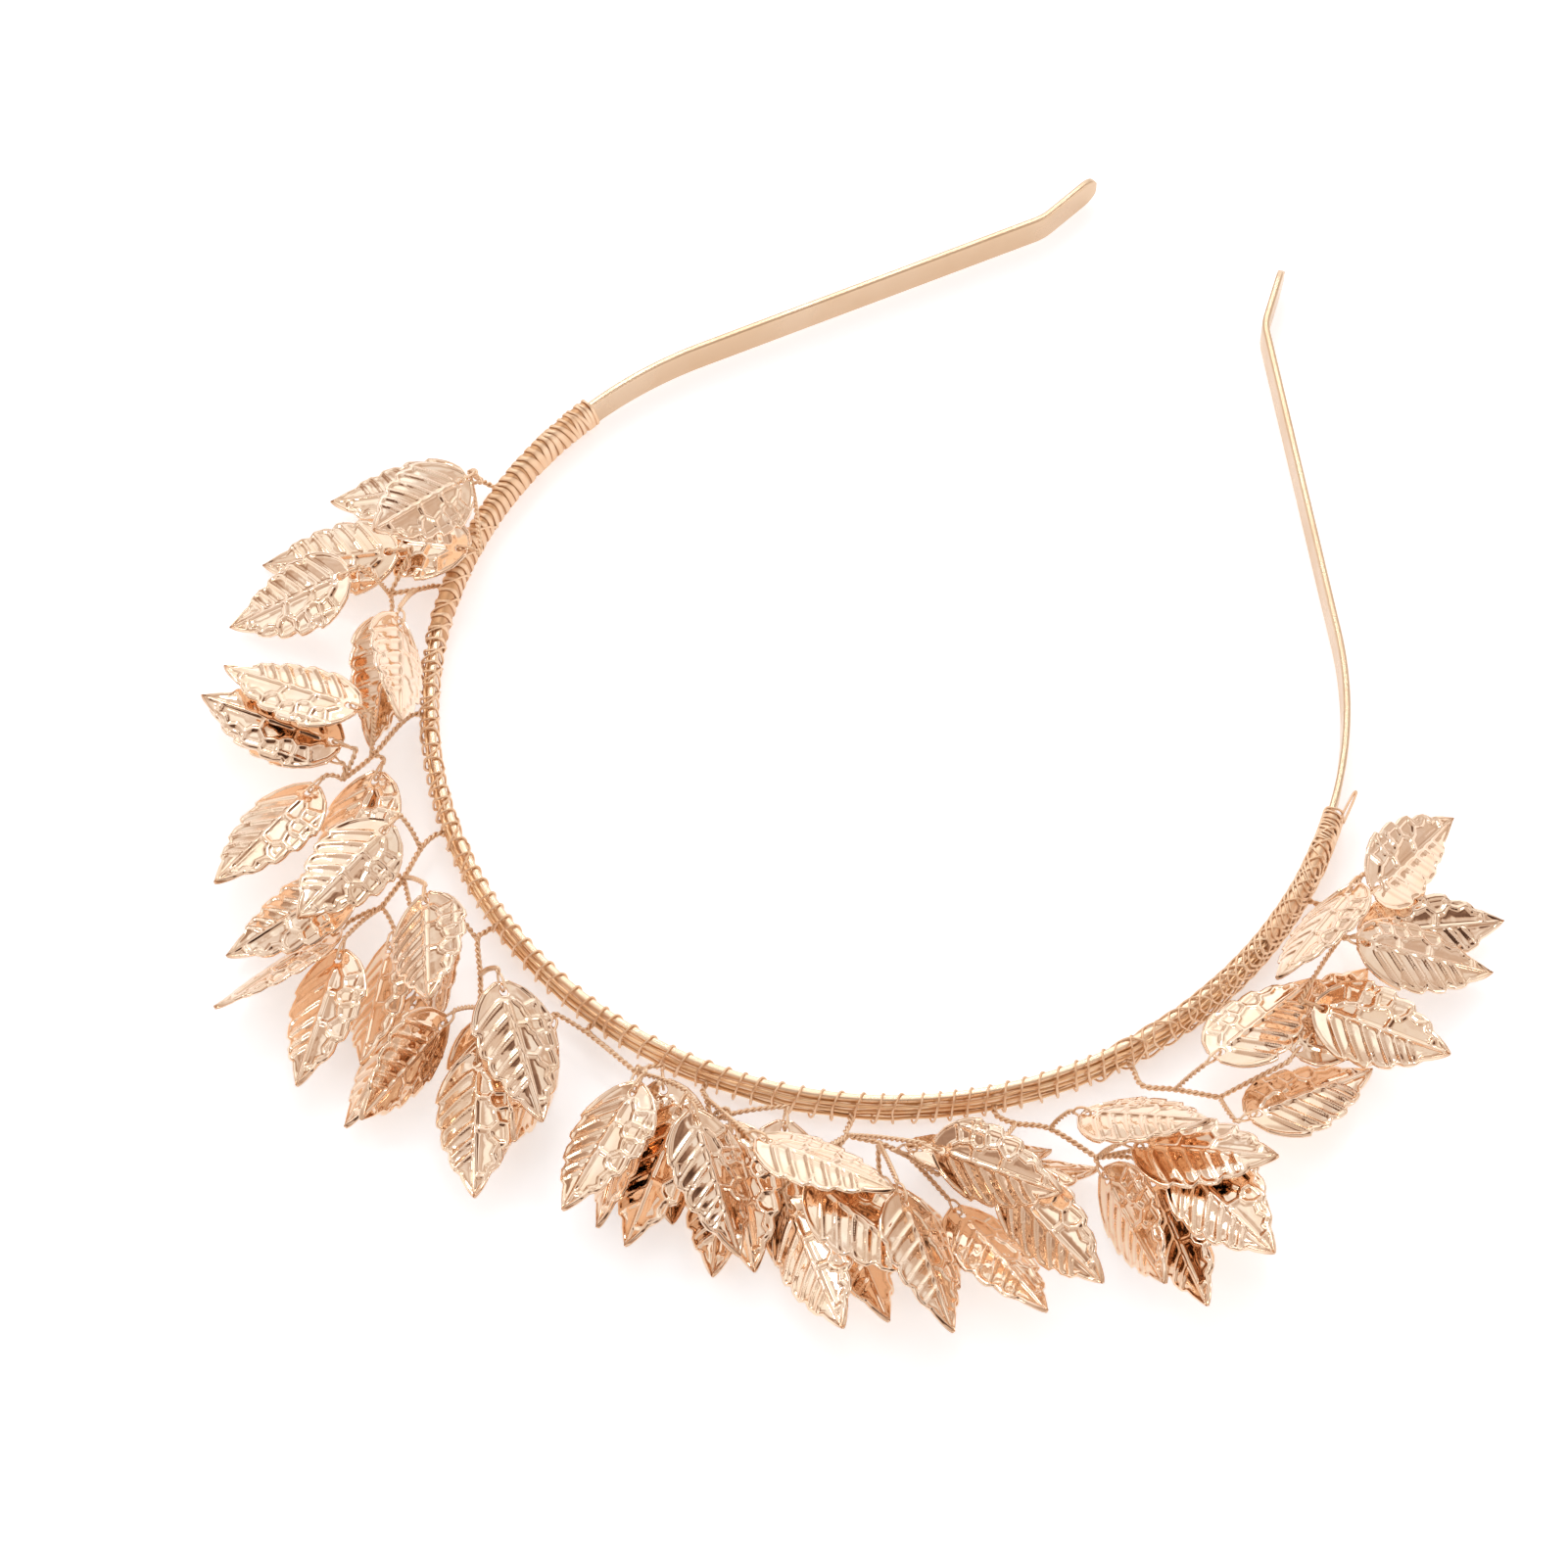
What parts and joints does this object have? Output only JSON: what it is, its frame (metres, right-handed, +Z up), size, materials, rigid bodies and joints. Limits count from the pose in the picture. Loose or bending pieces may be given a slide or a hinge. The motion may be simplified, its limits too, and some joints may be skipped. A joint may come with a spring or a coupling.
{
  "type": "leaf crown headband",
  "caption": "Open headband crown: a bent metal strip wound with wire, with stamped metal leaves standing out around its front on twisted wire sprigs.",
  "frame": {"origin": "centre of the head arc, on the plane that the crown lies on", "axes": "+Z up from the table, square to the plane of the band; +Y from the leafy front towards the open tips; +X to the right of that"},
  "size_m": [0.1743, 0.1804, 0.021],
  "materials": {
    "strip": "satin rose gold plating",
    "wire": "copper-toned gold wire",
    "leaf": "bright polished rose gold plating"
  },
  "bodies": {
    "root": {"headband": "strip", "wire_binding": "wire", "core_wires": "wire", "leaves_1": "leaf", "leaves_2": "leaf", "leaves_3": "leaf", "leaves_4": "leaf", "leaves_5": "leaf", "leaves_6": "leaf", "leaves_7": "leaf", "leaves_8": "leaf", "leaves_9": "leaf", "leaves_10": "leaf", "leaves_11": "leaf", "sprig_wire_1": "wire", "sprig_wire_2": "wire", "sprig_wire_3": "wire", "sprig_wire_4": "wire", "sprig_wire_5": "wire", "sprig_wire_6": "wire", "sprig_wire_7": "wire", "sprig_wire_8": "wire", "sprig_wire_9": "wire", "sprig_wire_10": "wire", "sprig_wire_11": "wire"}
  },
  "joints": []
}
